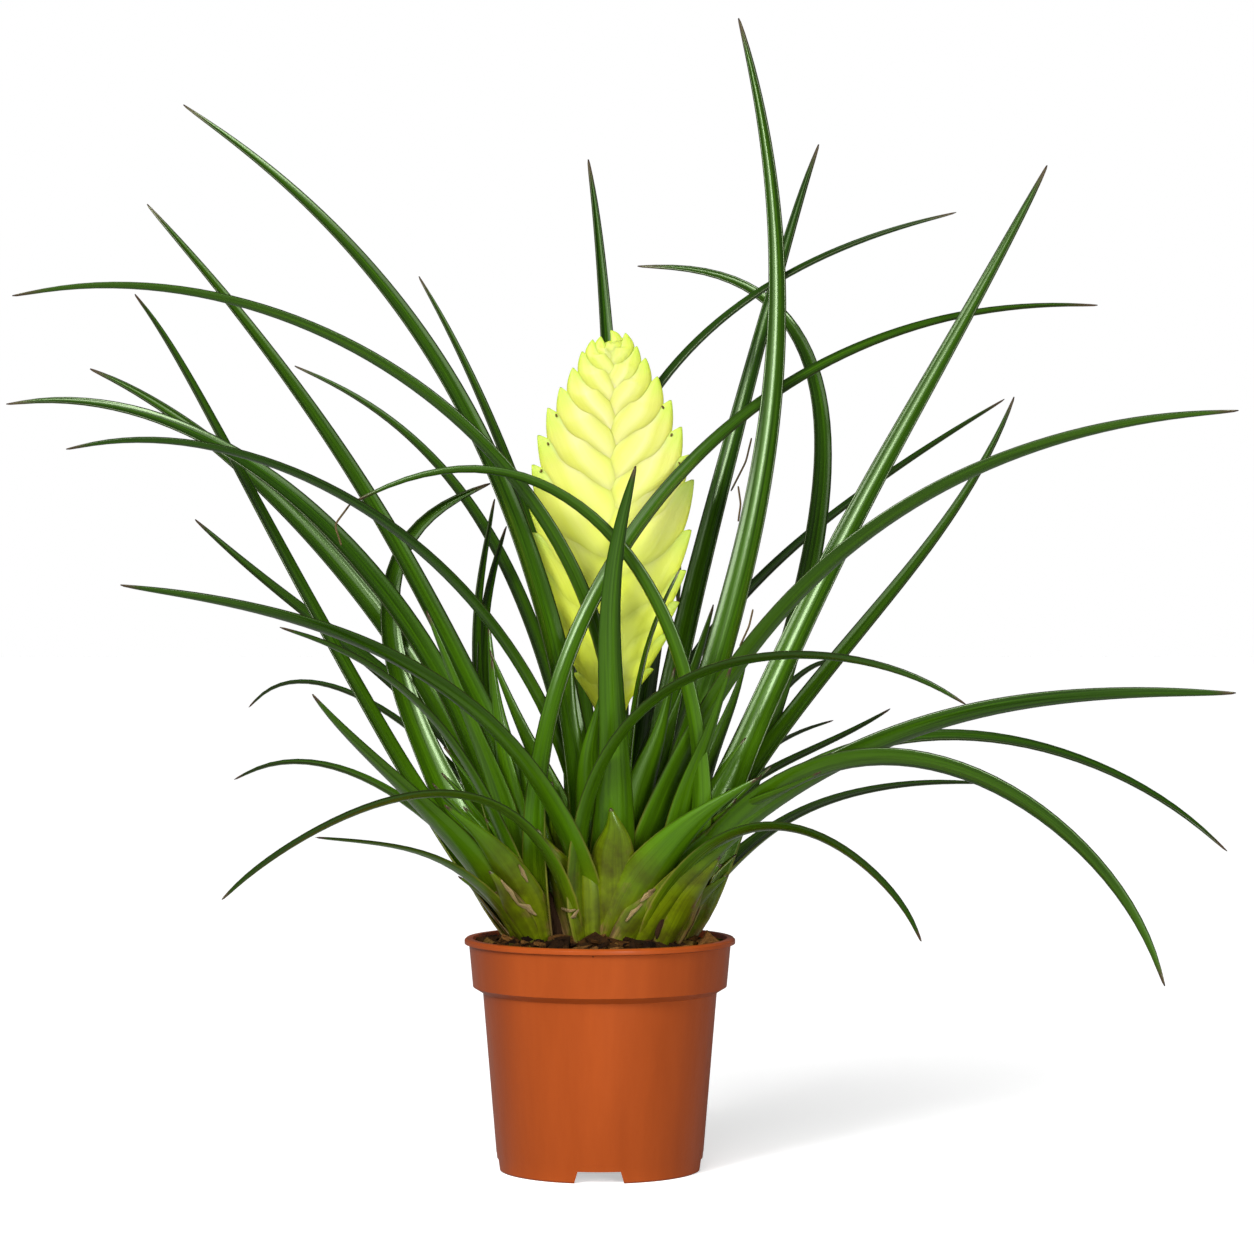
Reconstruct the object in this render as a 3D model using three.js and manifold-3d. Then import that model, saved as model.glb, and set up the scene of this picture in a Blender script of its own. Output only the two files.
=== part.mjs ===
// A pink quill, a bromeliad with grass-like arching leaves and a flat paddle of
// overlapping bracts, growing in a thin plastic nursery pot filled with bark and peat.
// Millimetres, +Z up. The origin is on the floor under the middle of the pot, and the
// paddle's broad face looks along -Y.

import * as THREE from 'three';
import { mergeVertices } from 'three/addons/utils/BufferGeometryUtils.js';
import Module from 'manifold-3d';

const wasm = await Module();
wasm.setup();

// Driving dimensions
const CLEARANCE = 0.3;
const SMALLEST_EDGE = 0.02;

const POT_HEIGHT = 76.2;
const POT_LIP_RADIUS = 45;
const POT_LIP_HEIGHT = 1.8;
const POT_LIP_ROUNDING = 0.6;
const POT_COLLAR_TOP_RADIUS = 43.5;
const POT_COLLAR_FOOT_RADIUS = 42.2;
const POT_COLLAR_HEIGHT = 16;
const POT_SHOULDER_DROP = 2.2;
const POT_BODY_TOP_RADIUS = 38.9;
const POT_BODY_FOOT_RADIUS = 34.3;
const POT_FOOT_RADIUS = 33.3;
const POT_FOOT_ROUNDING = 0.8;
const POT_STEP_HEIGHT = 6;
const POT_WALL = 1.2;
const POT_FLOOR_HEIGHT = 4.5;
const POT_FOOT_RING_WIDTH = 2.4;
const POT_SIDES = 40;
const FOOT_NOTCH_WIDTH = 15;
const FOOT_NOTCH_HEIGHT = 3.8;
const FOOT_NOTCHES = 4;
const DRAIN_HOLE_RADIUS = 4;
const DRAIN_HOLE_CIRCLE = 21;
const DRAIN_HOLES = 6;

const SOIL_TOP = 72.6;
const SOIL_TOP_RADIUS = 40.6;
const SOIL_SIDES = 24;
const SOIL_ROUGHNESS = 1.1;
const BARK_CHIPS = 30;
const BARK_REACH = 37.5;
const BARK_LENGTH = 5.5;
const BARK_TILT = 0.45;
const STEM_DEPTH = 8;
const STEM_SIDES = 10;

const LEAF_THICKNESS = 0.9;
const LEAF_MARGIN_THICKNESS = 0.65;
const LEAF_TIP_WIDTH = 0.7;
const LEAF_STEP_LENGTH = 30;
const LEAF_LEAST_STEPS = 4;
const LEAF_ROOT_HEIGHT = 80;
const LEAF_GUTTER = 0.42;
const SHEATH_WIDENING = 0.7;
const SHEATH_CUPPING = 0.25;
const SHEATH_FADE = [20, 90];

const STALK_RADIUS = 2.3;
const STALK_BASE = [2, 3, 84];
const STALK_TOP = [2.7, 3, 156];

const PADDLE_TOP = 279;
const PADDLE_WIDEST = 222;
const PADDLE_FOOT = 146;
const PADDLE_DEPTH = 3;
const PADDLE_HALF_WIDTH = 28;
const PADDLE_HALF_THICKNESS = 5.6;
const PADDLE_BOW = 1.4;
const BRACTS_A_SIDE = 14;
const LOWEST_BRACT_TIP = 158;
const BRACT_TIP_ROOM = 1.5;
const BRACT_WIDTH = 11.2;

// The viewing point that the leaf list is drawn from
const EYE = new THREE.Vector3(9, -1160, 180);

// Materials
const terracottaPlastic = new THREE.MeshStandardMaterial({ color: 0xb85424, roughness: 0.45 });
const barkMix = new THREE.MeshStandardMaterial({ color: 0x3a2619, roughness: 0.95 });
const leafGreen = new THREE.MeshStandardMaterial({ color: 0x2f5f14, roughness: 0.45 });
const stalkGreen = new THREE.MeshStandardMaterial({ color: 0x7f9a22, roughness: 0.5 });
const bractYellow = new THREE.MeshStandardMaterial({ color: 0xdde05a, roughness: 0.5 });

// Shared building steps
function randomSource(seed) {
  let state = seed;
  return () => {
    state = (state * 1664525 + 1013904223) % 4294967296;
    return state / 4294967296;
  };
}

function solid(geometry) {
  const plain = geometry.clone();
  plain.deleteAttribute('normal');
  plain.deleteAttribute('uv');
  const merged = mergeVertices(plain, 1e-4);
  return new wasm.Manifold(new wasm.Mesh({
    numProp: 3,
    vertProperties: new Float32Array(merged.attributes.position.array),
    triVerts: new Uint32Array(merged.index.array),
  }));
}

function namedMesh(name, body, material) {
  const { vertProperties, triVerts } = body.getMesh();
  const geometry = new THREE.BufferGeometry();
  geometry.setAttribute('position', new THREE.BufferAttribute(vertProperties, 3));
  geometry.setIndex(new THREE.BufferAttribute(triVerts, 1));
  geometry.computeVertexNormals();
  const mesh = new THREE.Mesh(geometry, material);
  mesh.name = name;
  return mesh;
}

// Fusing can leave crumbs and needle-thin faces behind, which are dropped
function largestPiece(body) {
  const pieces = body.decompose();
  const largest = pieces.reduce((best, piece) => (piece.volume() > best.volume() ? piece : best));
  return largest.simplify(SMALLEST_EDGE);
}

function turned(profile, sides) {
  const points = profile.map(([radius, height]) => new THREE.Vector2(radius, height));
  return new THREE.LatheGeometry(points, sides).rotateX(Math.PI / 2);
}

function upright(radius, low, high, sides) {
  return turned([[0, low], [radius, low], [radius, high], [0, high]], sides);
}

// A closed skin over rings of equal point count, with a fan at each end
function loft(rings) {
  const count = rings[0].length;
  const positions = rings.flat().flatMap((point) => [point.x, point.y, point.z]);
  const faces = [];
  for (let ring = 0; ring < rings.length - 1; ring++) {
    for (let i = 0; i < count; i++) {
      const a = ring * count + i;
      const b = ring * count + (i + 1) % count;
      faces.push(a, b, b + count, a, b + count, a + count);
    }
  }
  const last = (rings.length - 1) * count;
  for (let i = 1; i < count - 1; i++) {
    faces.push(0, i + 1, i, last, last + i, last + i + 1);
  }
  const geometry = new THREE.BufferGeometry();
  geometry.setAttribute('position', new THREE.Float32BufferAttribute(positions, 3));
  geometry.setIndex(faces);
  return geometry;
}

// Pot: a thin moulded shell with a stepped collar, a rolled lip and a notched foot
function potBody() {
  const collarFoot = POT_HEIGHT - POT_COLLAR_HEIGHT;
  const shoulder = collarFoot - POT_SHOULDER_DROP;
  const lipFoot = POT_HEIGHT - POT_LIP_HEIGHT;
  const footInner = POT_FOOT_RADIUS - POT_FOOT_RING_WIDTH;
  const shell = solid(turned([
    [0, POT_FLOOR_HEIGHT - POT_WALL],
    [footInner, POT_FLOOR_HEIGHT - POT_WALL],
    [footInner, 0],
    [POT_FOOT_RADIUS - POT_FOOT_ROUNDING, 0],
    [POT_FOOT_RADIUS, POT_FOOT_ROUNDING],
    [POT_BODY_FOOT_RADIUS, POT_STEP_HEIGHT],
    [POT_BODY_TOP_RADIUS, shoulder],
    [POT_COLLAR_FOOT_RADIUS, collarFoot],
    [POT_COLLAR_TOP_RADIUS, lipFoot - POT_LIP_ROUNDING],
    [POT_LIP_RADIUS, lipFoot],
    [POT_LIP_RADIUS, POT_HEIGHT - POT_LIP_ROUNDING],
    [POT_LIP_RADIUS - POT_LIP_ROUNDING, POT_HEIGHT],
    [POT_COLLAR_TOP_RADIUS - POT_WALL, POT_HEIGHT],
    [POT_COLLAR_FOOT_RADIUS - POT_WALL, collarFoot + POT_WALL / 2],
    [POT_BODY_TOP_RADIUS - POT_WALL, shoulder + POT_WALL / 2],
    [POT_BODY_FOOT_RADIUS - POT_WALL, POT_FLOOR_HEIGHT],
    [0, POT_FLOOR_HEIGHT],
  ], POT_SIDES));
  const cuts = [];
  for (let i = 0; i < FOOT_NOTCHES; i++) {
    const through = 3 * POT_FOOT_RING_WIDTH;
    const notch = new THREE.BoxGeometry(through, FOOT_NOTCH_WIDTH, 2 * FOOT_NOTCH_HEIGHT);
    notch.translate(POT_FOOT_RADIUS, 0, 0);
    notch.rotateZ(-Math.PI / 2 + i * 2 * Math.PI / FOOT_NOTCHES);
    cuts.push(solid(notch));
  }
  for (let i = 0; i < DRAIN_HOLES; i++) {
    const hole = upright(DRAIN_HOLE_RADIUS, 0, 2 * POT_FLOOR_HEIGHT, 12);
    hole.translate(DRAIN_HOLE_CIRCLE, 0, 0);
    hole.rotateZ((i + 0.5) * 2 * Math.PI / DRAIN_HOLES);
    cuts.push(solid(hole));
  }
  return shell.subtract(wasm.Manifold.union(cuts));
}

// Crowns: each is one rosette on a short buried stem
const crowns = {
  main_rosette: { centre: [2, 2], radius: 9.5, height: 104 },
  left_offset: { centre: [-25, -3], radius: 7.5, height: 104 },
  right_offset: { centre: [22.6, -7.4], radius: 7.5, height: 104 },
};

function crownStem({ centre, radius, height }) {
  const stem = turned([
    [0, SOIL_TOP - STEM_DEPTH],
    [radius * 0.8, SOIL_TOP - STEM_DEPTH],
    [radius, LEAF_ROOT_HEIGHT + 3],
    [radius * 0.85, (LEAF_ROOT_HEIGHT + height) / 2],
    [radius * 0.3, height],
    [0, height],
  ], STEM_SIDES);
  return solid(stem.translate(centre[0], centre[1], 0));
}

// Soil: a plug with a rough top, plain holes for the stems and loose-looking bark chips
function soilBody() {
  const random = randomSource(11);
  const inset = POT_WALL + 2 * CLEARANCE;
  const collarFoot = POT_HEIGHT - POT_COLLAR_HEIGHT;
  const rings = [
    [POT_BODY_FOOT_RADIUS - inset, POT_FLOOR_HEIGHT + CLEARANCE],
    [POT_BODY_TOP_RADIUS - inset, collarFoot - POT_SHOULDER_DROP + POT_WALL / 2],
    [SOIL_TOP_RADIUS - CLEARANCE, collarFoot + 2 * POT_WALL],
    [SOIL_TOP_RADIUS, SOIL_TOP - 0.8],
    [SOIL_TOP_RADIUS * 0.76, SOIL_TOP],
    [SOIL_TOP_RADIUS * 0.52, SOIL_TOP],
    [SOIL_TOP_RADIUS * 0.27, SOIL_TOP],
    [SOIL_TOP_RADIUS * 0.07, SOIL_TOP],
  ].map(([radius, height], index) => Array.from({ length: SOIL_SIDES }, (_, side) => {
    const angle = side * 2 * Math.PI / SOIL_SIDES;
    const rough = index > 3 ? SOIL_ROUGHNESS : 0;
    const lift = (random() - 0.5) * 2 * rough;
    return new THREE.Vector3(radius * Math.cos(angle), radius * Math.sin(angle), height + lift);
  }));
  const plug = solid(loft(rings));
  const chips = [];
  for (let i = 0; i < BARK_CHIPS; i++) {
    const reach = BARK_REACH * Math.sqrt(random());
    const around = random() * 2 * Math.PI;
    const [length, width, height] = [1, 0.64, 0.38].map((share) => (
      share * BARK_LENGTH * THREE.MathUtils.lerp(0.7, 1.35, random())));
    const chip = new THREE.BoxGeometry(length, width, height);
    chip.rotateX(BARK_TILT * (2 * random() - 1)).rotateY(BARK_TILT * (2 * random() - 1));
    chip.rotateZ(random() * Math.PI);
    chip.translate(reach * Math.cos(around), reach * Math.sin(around), SOIL_TOP + CLEARANCE);
    chips.push(solid(chip));
  }
  const stems = Object.values(crowns).map(({ centre, radius }) => {
    const holeFoot = SOIL_TOP - STEM_DEPTH - CLEARANCE;
    const hole = upright(radius + CLEARANCE, holeFoot, LEAF_ROOT_HEIGHT, 16);
    return solid(hole.translate(centre[0], centre[1], 0));
  });
  const filled = plug.add(wasm.Manifold.union(chips));
  return largestPiece(filled.subtract(wasm.Manifold.union(stems)));
}

// Leaves: each is a gutter-shaped blade bent along one cubic through four points. A row
// gives a point a third of the way along, one at two thirds and the tip, each as
// [across, up, depth] seen from the front, then the blade's width and how far in degrees
// its upper face turns to the front.
const leaves = {
  main_rosette: [
    // reaching left
    [[-16, 188, -8], [-62, 282, 24], [-139, 354, 60], 8.5, 50],
    [[-45, 166, 14], [-92, 247, 30], [-151, 321, 42], 8, 50],
    [[-9, 197, -13], [-86, 276, -31], [-196, 291, -45], 6.5, -40],
    [[-28, 170, -18], [-96, 230, -54], [-182, 237, -86], 6.5, -30],
    [[-15, 155, 40], [-45, 223, 86], [-102, 267, 126], 6.5, 15],
    [[-12, 158, 30], [-30, 231, 64], [-60, 297, 98], 6, 15],
    [[-34, 144, -44], [-94, 178, -74], [-161, 193, -100], 8, -30],
    [[-37, 121, -48], [-86, 116, -92], [-126, 89, -122], 7, -15],
    // upright in the middle
    [[5, 168, 24], [4, 252, 50], [-4, 336, 80], 7.5, 75],
    [[5, 137, -24], [4, 187, -34], [12, 234, -42], 8.5, -75],
    [[9, 125, -11], [14, 165, -11], [27, 200, -9], 4.5, 25],
    [[4, 100, -14], [4, 110, -17], [3, 119, -17], 11, -80],
    // reaching right
    [[41, 182, -3], [59, 282, 8], [46, 383, 30], 9, 65],
    [[27, 170, 16], [48, 256, 32], [73, 341, 50], 8.5, 60],
    [[-4, 205, 17], [40, 281, 15], [119, 318, 10], 8, 20],
    [[46, 172, -19], [121, 230, -34], [213, 252, -45], 8.5, -30],
    [[26, 159, 38], [74, 214, 86], [135, 256, 120], 7.5, 25],
    [[9, 146, -38], [63, 170, -84], [122, 154, -118], 7.5, -20],
    // short and young, closing the base
    [[-6, 122, -9], [-10, 148, -11], [-10, 180, -11], 9, -70],
    [[-2, 120, -14], [-3, 140, -18], [2, 163, -20], 9, -80],
    [[13, 120, -5], [19, 142, -6], [25, 167, -7], 10, -60],
    [[16, 118, 4], [26, 150, 10], [38, 188, 18], 9, -50],
    [[-13, 118, 4], [-26, 148, 10], [-42, 185, 18], 9, -45],
    // hidden behind
    [[6, 152, 36], [8, 214, 88], [12, 236, 138], 8, 70],
    [[14, 148, 46], [22, 200, 110], [26, 186, 148], 8, 65],
    [[-6, 146, 48], [-12, 192, 108], [-18, 178, 146], 8, 65],
  ],
  left_offset: [
    [[-76, 148, 18], [-119, 230, 48], [-154, 291, 82], 7.5, 20],
    [[-54, 163, 5], [-115, 233, 20], [-198, 254, 39], 9, 45],
    [[-55, 157, 32], [-108, 226, 68], [-173, 268, 98], 7.5, 20],
    [[-46, 137, 48], [-89, 179, 100], [-136, 216, 142], 7, 20],
    [[-54, 130, 22], [-70, 190, 44], [-36, 228, 60], 6.5, 35],
    [[-36, 128, 20], [-40, 171, 40], [-31, 214, 62], 7.5, 40],
    [[-42, 124, 36], [-83, 158, 80], [-117, 153, 108], 5.5, 15],
    [[-47, 107, -22], [-72, 133, -48], [-97, 158, -72], 6, -20],
    [[-52, 111, 10], [-88, 133, 34], [-122, 129, 58], 6.5, 15],
    [[-45, 97, -22], [-69, 107, -48], [-95, 110, -76], 5.5, -15],
    [[-39, 123, -26], [-66, 159, -58], [-107, 180, -88], 7, -20],
    [[-4, 185, -18], [67, 264, 14], [166, 286, 46], 6.5, 50],
    // short and young
    [[-33, 118, -8], [-43, 148, -14], [-58, 186, -20], 8, -50],
    [[-28, 116, -7], [-31, 142, -9], [-32, 168, -11], 8, -60],
  ],
  right_offset: [
    [[30, 156, -24], [-10, 222, -28], [-83, 221, -38], 5.5, -50],
    [[57, 164, 24], [72, 258, 52], [10, 297, 76], 8.5, 60],
    [[61, 167, 4], [105, 250, 13], [149, 334, 22], 9, 60],
    [[55, 142, 7], [101, 196, 28], [138, 257, 50], 6.5, 25],
    [[70, 134, -18], [140, 157, -42], [212, 156, -56], 8.5, -40],
    [[73, 134, 0], [144, 140, -14], [209, 105, -25], 8, 25],
    [[75, 133, -36], [143, 120, -66], [188, 60, -88], 9, -40],
    [[50, 106, 24], [83, 124, 68], [129, 128, 110], 7, 20],
    [[46, 111, -46], [82, 105, -98], [107, 75, -148], 6.5, -25],
    [[33, 110, 34], [51, 135, 76], [78, 149, 108], 5, 15],
    [[36, 115, 14], [65, 136, 38], [97, 153, 60], 7, 20],
    [[40, 122, 36], [60, 157, 74], [80, 169, 100], 6.5, 20],
    // short and young
    [[29, 114, -14], [36, 138, -24], [46, 168, -38], 8, -60],
    [[35, 108, -14], [52, 122, -28], [74, 132, -46], 7, -40],
  ],
};

function fromFront([across, up, depth]) {
  const seen = new THREE.Vector3(across, 0, up).sub(EYE);
  return seen.multiplyScalar((depth - EYE.y) / -EYE.y).add(EYE);
}

function leafCurve(row, { centre, radius }) {
  const [first, second, tip] = row.slice(0, 3).map(fromFront);
  const outward = new THREE.Vector2(first.x - centre[0], first.y - centre[1]).setLength(radius / 2);
  const root = new THREE.Vector3(centre[0] + outward.x, centre[1] + outward.y, LEAF_ROOT_HEIGHT);
  const handle = (a, b, c, d) => root.clone().multiplyScalar(a).addScaledVector(first, b)
    .addScaledVector(second, c).addScaledVector(tip, d).divideScalar(6);
  return new THREE.CubicBezierCurve3(root, handle(-5, 18, -9, 2), handle(2, -9, 18, -5), tip);
}

function bladeShare(along, sheath) {
  const taper = Math.min(1, 1.12 * Math.pow(1 - along, 0.55));
  const root = THREE.MathUtils.lerp(0.6, 1, THREE.MathUtils.smoothstep(along, 0, 0.08));
  return (taper + SHEATH_WIDENING * sheath) * root;
}

function leafBody(row, crown) {
  const curve = leafCurve(row, crown);
  const [width, turnDegrees] = row.slice(3);
  const turn = THREE.MathUtils.degToRad(turnDegrees);
  const side = curve.v3.x < curve.v0.x ? -1 : 1;
  const length = curve.getLength();
  const steps = Math.max(LEAF_LEAST_STEPS, Math.round(length / LEAF_STEP_LENGTH));
  const rings = [];
  for (let step = 0; step <= steps; step++) {
    const along = step / steps;
    const centre = curve.getPoint(along);
    const tangent = curve.getTangent(along);
    const above = new THREE.Vector3(-side * tangent.z, 0, side * tangent.x).normalize();
    const front = new THREE.Vector3().crossVectors(above, tangent);
    if (front.y > 0) front.negate();
    const upper = above.multiplyScalar(Math.cos(turn)).addScaledVector(front, Math.sin(turn));
    const across = new THREE.Vector3().crossVectors(upper, tangent);
    const sheath = 1 - THREE.MathUtils.smoothstep(along * length, ...SHEATH_FADE);
    const half = Math.max(LEAF_TIP_WIDTH, width * bladeShare(along, sheath)) / 2;
    const rise = half * (LEAF_GUTTER + SHEATH_CUPPING * sheath);
    const keel = LEAF_THICKNESS / 2;
    const margin = LEAF_MARGIN_THICKNESS / 2;
    const at = (x, y) => centre.clone().addScaledVector(across, x).addScaledVector(upper, y);
    rings.push([
      at(-half, rise + margin), at(-half, rise - margin), at(0, -keel),
      at(half, rise - margin), at(half, rise + margin), at(0, keel),
    ]);
  }
  return solid(loft(rings));
}

function rosetteBody(name) {
  const crown = crowns[name];
  return wasm.Manifold.union([crownStem(crown), ...leaves[name].map((row) => leafBody(row, crown))]);
}

// Flower stalk and the flat paddle of folded bracts on it
function circle(centre, radius, sides) {
  return Array.from({ length: sides }, (_, side) => {
    const angle = side * 2 * Math.PI / sides;
    return centre.clone().add(new THREE.Vector3(radius, 0, 0)
      .applyAxisAngle(new THREE.Vector3(0, 0, 1), angle));
  });
}

function stalkBody(grow = 0) {
  const base = new THREE.Vector3(...STALK_BASE);
  const top = new THREE.Vector3(...STALK_TOP);
  base.z -= grow;
  top.z += grow;
  return solid(loft([base, top].map((centre) => circle(centre, STALK_RADIUS + grow, 10))));
}

function paddleMiddle(height) {
  const share = (height - PADDLE_FOOT) / (PADDLE_TOP - PADDLE_FOOT);
  return STALK_TOP[0] + 0.8 * share + PADDLE_BOW * Math.sin(Math.PI * share);
}

function paddleReach(height) {
  if (height > PADDLE_WIDEST) {
    const share = (height - PADDLE_WIDEST) / (PADDLE_TOP - PADDLE_WIDEST);
    return PADDLE_HALF_WIDTH * Math.pow(Math.max(0, 1 - share * share), 0.7);
  }
  const share = (PADDLE_WIDEST - height) / (PADDLE_WIDEST - PADDLE_FOOT);
  return THREE.MathUtils.lerp(PADDLE_HALF_WIDTH, STALK_RADIUS, share * share);
}

// One folded bract: a boat-shaped wedge from the axis up and out to its free tip
function bractBody(side, tipHeight) {
  const reach = paddleReach(tipHeight);
  const length = 16 + 0.95 * reach;
  const low = Math.max(PADDLE_FOOT, tipHeight - length);
  const start = new THREE.Vector3(paddleMiddle(low), PADDLE_DEPTH, low);
  const tip = new THREE.Vector3(paddleMiddle(tipHeight) + side * reach, PADDLE_DEPTH, tipHeight);
  const elbow = new THREE.Vector3(
    start.x + side * reach * 0.62, PADDLE_DEPTH, low + (tipHeight - low) * 0.42);
  const curve = new THREE.QuadraticBezierCurve3(start, elbow, tip);
  const stations = [[0, 0.4, 0.6], [0.28, 1, 1], [0.68, 0.86, 0.68], [1, 0.09, 0.12]];
  const rings = stations.map(([along, wide, thick]) => {
    const centre = curve.getPoint(along);
    const tangent = curve.getTangent(along);
    const across = new THREE.Vector3(tangent.z, 0, -tangent.x);
    const deep = PADDLE_HALF_THICKNESS * thick;
    const half = wide * BRACT_WIDTH / 2;
    const at = (x, y) => centre.clone().addScaledVector(across, x * half)
      .add(new THREE.Vector3(0, y * deep, 0));
    return [at(1, 0), at(0.4, 1), at(-0.5, 0.8), at(-1, 0), at(-0.5, -0.8), at(0.4, -1)];
  });
  return solid(loft(rings));
}

function paddleBody() {
  const bracts = [];
  for (let i = 0; i < BRACTS_A_SIDE; i++) {
    const share = Math.pow(i / (BRACTS_A_SIDE - 1), 1.25);
    const height = THREE.MathUtils.lerp(PADDLE_TOP - BRACT_TIP_ROOM, LOWEST_BRACT_TIP, share);
    bracts.push(bractBody(-1, height - BRACT_TIP_ROOM));
    bracts.push(bractBody(1, height));
  }
  const axis = [[PADDLE_FOOT, 3.4], [180, 4.4], [235, 4.4], [PADDLE_TOP, 0.8]];
  const rings = axis.map(([height, radius]) => (
    circle(new THREE.Vector3(paddleMiddle(height), PADDLE_DEPTH, height), radius, 8)));
  return wasm.Manifold.union([solid(loft(rings)), ...bracts]);
}

// Assembly
const plant = new THREE.Group();

const main = rosetteBody('main_rosette').subtract(stalkBody(CLEARANCE));
const paddle = paddleBody().subtract(stalkBody(CLEARANCE));
const left = rosetteBody('left_offset');
const right = rosetteBody('right_offset');

plant.add(namedMesh('pot', potBody(), terracottaPlastic));
plant.add(namedMesh('soil', soilBody(), barkMix));
plant.add(namedMesh('main_rosette', largestPiece(main), leafGreen));
plant.add(namedMesh('left_offset', largestPiece(left), leafGreen));
plant.add(namedMesh('right_offset', largestPiece(right), leafGreen));
plant.add(namedMesh('flower_stalk', stalkBody(), stalkGreen));
plant.add(namedMesh('flower_spike', largestPiece(paddle), bractYellow));

export default plant;
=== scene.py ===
import math
import random

import bpy
from mathutils import Matrix, Vector
from mathutils.geometry import interpolate_bezier


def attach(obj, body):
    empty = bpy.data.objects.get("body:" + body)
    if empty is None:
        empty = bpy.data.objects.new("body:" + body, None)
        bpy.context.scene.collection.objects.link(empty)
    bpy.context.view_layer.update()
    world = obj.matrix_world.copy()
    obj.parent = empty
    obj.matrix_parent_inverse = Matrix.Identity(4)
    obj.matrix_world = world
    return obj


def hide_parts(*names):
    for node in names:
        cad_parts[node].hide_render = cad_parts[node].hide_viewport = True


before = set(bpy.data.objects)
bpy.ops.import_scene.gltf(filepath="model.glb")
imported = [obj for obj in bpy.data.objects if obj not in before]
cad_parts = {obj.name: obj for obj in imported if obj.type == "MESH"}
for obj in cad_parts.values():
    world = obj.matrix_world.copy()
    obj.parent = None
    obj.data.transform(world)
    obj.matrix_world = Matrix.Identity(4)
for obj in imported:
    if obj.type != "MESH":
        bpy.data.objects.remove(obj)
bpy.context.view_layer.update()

# Camera: a long lens, level with the middle of the leaves and a little to the right of
# the pot, so that the rim shows as a thin ellipse.
MM = 0.001
EYE = Vector((9, -1160, 180))
LENS = 100.1
SENSOR_WIDTH = 36

bpy.ops.object.select_all(action="DESELECT")
bpy.ops.object.camera_add(location=EYE * MM, rotation=(math.radians(90), 0, 0))
camera = bpy.context.object
camera.name = "camera"
camera.data.lens = LENS
camera.data.sensor_width = SENSOR_WIDTH
bpy.context.scene.camera = camera

# Studio: a pale floor under an even white sky, with a broad soft light from high in front
# and two round lamps beside the camera, as for a catalogue picture.
FLOOR_SIZE = 40
PAPER_WHITES = [(0.3, (0.94, 0.94, 0.94)), (0.7, (0.96, 0.96, 0.96))]
PAPER_DIMMED = (0.45, 0.45, 0.45)
PAPER_GLOW = 0.5
SKY_ON_PLANT = 0.16
LIGHTS_AIM = Vector((0, 0, 0.15))

bpy.context.scene.view_settings.view_transform = "Standard"

bpy.ops.mesh.primitive_plane_add(size=FLOOR_SIZE)
floor = bpy.context.object
floor.name = "floor"
bpy.ops.object.mode_set(mode="EDIT")
bpy.ops.mesh.subdivide(number_cuts=6)
bpy.ops.object.mode_set(mode="OBJECT")


def add_node(tree, kind, inputs=None, **settings):
    node = tree.nodes.new("ShaderNode" + kind)
    for name, value in settings.items():
        setattr(node, name, value)
    for name, value in (inputs or {}).items():
        if isinstance(value, bpy.types.NodeSocket):
            tree.links.new(value, node.inputs[name])
        else:
            node.inputs[name].default_value = value
    return node


def new_material(name, **sockets):
    material = bpy.data.materials.new(name)
    material.use_nodes = True
    shader = material.node_tree.nodes["Principled BSDF"]
    for socket, value in sockets.items():
        shader.inputs[socket.replace("_", " ")].default_value = value
    return material, material.node_tree, shader


def color_ramp(tree, factor, stops):
    ramp = add_node(tree, "ValToRGB", {"Fac": factor})
    elements = ramp.color_ramp.elements
    while len(elements) < len(stops):
        elements.new(0.5)
    for element, (position, color) in zip(elements, stops):
        element.position = position
        element.color = (*color, 1)
    return ramp.outputs["Color"]


def blend(tree, factor, first, second, kind="MIX"):
    node = add_node(tree, "Mix", {"Factor": factor}, data_type="RGBA", blend_type=kind)
    for socket, value in ((node.inputs[6], first), (node.inputs[7], second)):
        if isinstance(value, bpy.types.NodeSocket):
            tree.links.new(value, socket)
        else:
            socket.default_value = (*value, 1)
    return node.outputs[2]


def ranged(tree, value, low, high, start=0.0, end=1.0, **settings):
    node = add_node(tree, "MapRange", {
        "Value": value, "From Min": low, "From Max": high, "To Min": start, "To Max": end},
        **settings)
    return node.outputs["Result"]


paper, tree, shader = new_material("studio_paper", Roughness=0.9, Specular_IOR_Level=0.0)
place = add_node(tree, "TexCoord").outputs["Object"]
cloud = add_node(tree, "TexNoise", {"Vector": place, "Scale": 1.5, "Detail": 2.0})
shade = color_ramp(tree, cloud.outputs["Fac"], PAPER_WHITES)
# The camera sees the paper bright, while it throws only a little light back on the plant
seen = add_node(tree, "LightPath").outputs["Is Camera Ray"]
tree.links.new(blend(tree, seen, PAPER_DIMMED, shade), shader.inputs["Base Color"])
shader.inputs["Emission Color"].default_value = (1, 1, 1, 1)
glow = ranged(tree, seen, 0.0, 1.0, 0.0, PAPER_GLOW)
tree.links.new(glow, shader.inputs["Emission Strength"])
floor.data.materials.append(paper)

# The sky looks white to the camera, and lights the plant at about a sixth of that
sky = bpy.data.worlds.new("white_sky")
sky.use_nodes = True
seen = add_node(sky.node_tree, "LightPath").outputs["Is Camera Ray"]
level = ranged(sky.node_tree, seen, 0.0, 1.0, SKY_ON_PLANT, 1.0)
background = sky.node_tree.nodes["Background"]
background.inputs["Color"].default_value = (1, 1, 1, 1)
sky.node_tree.links.new(level, background.inputs["Strength"])
bpy.context.scene.world = sky


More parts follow.
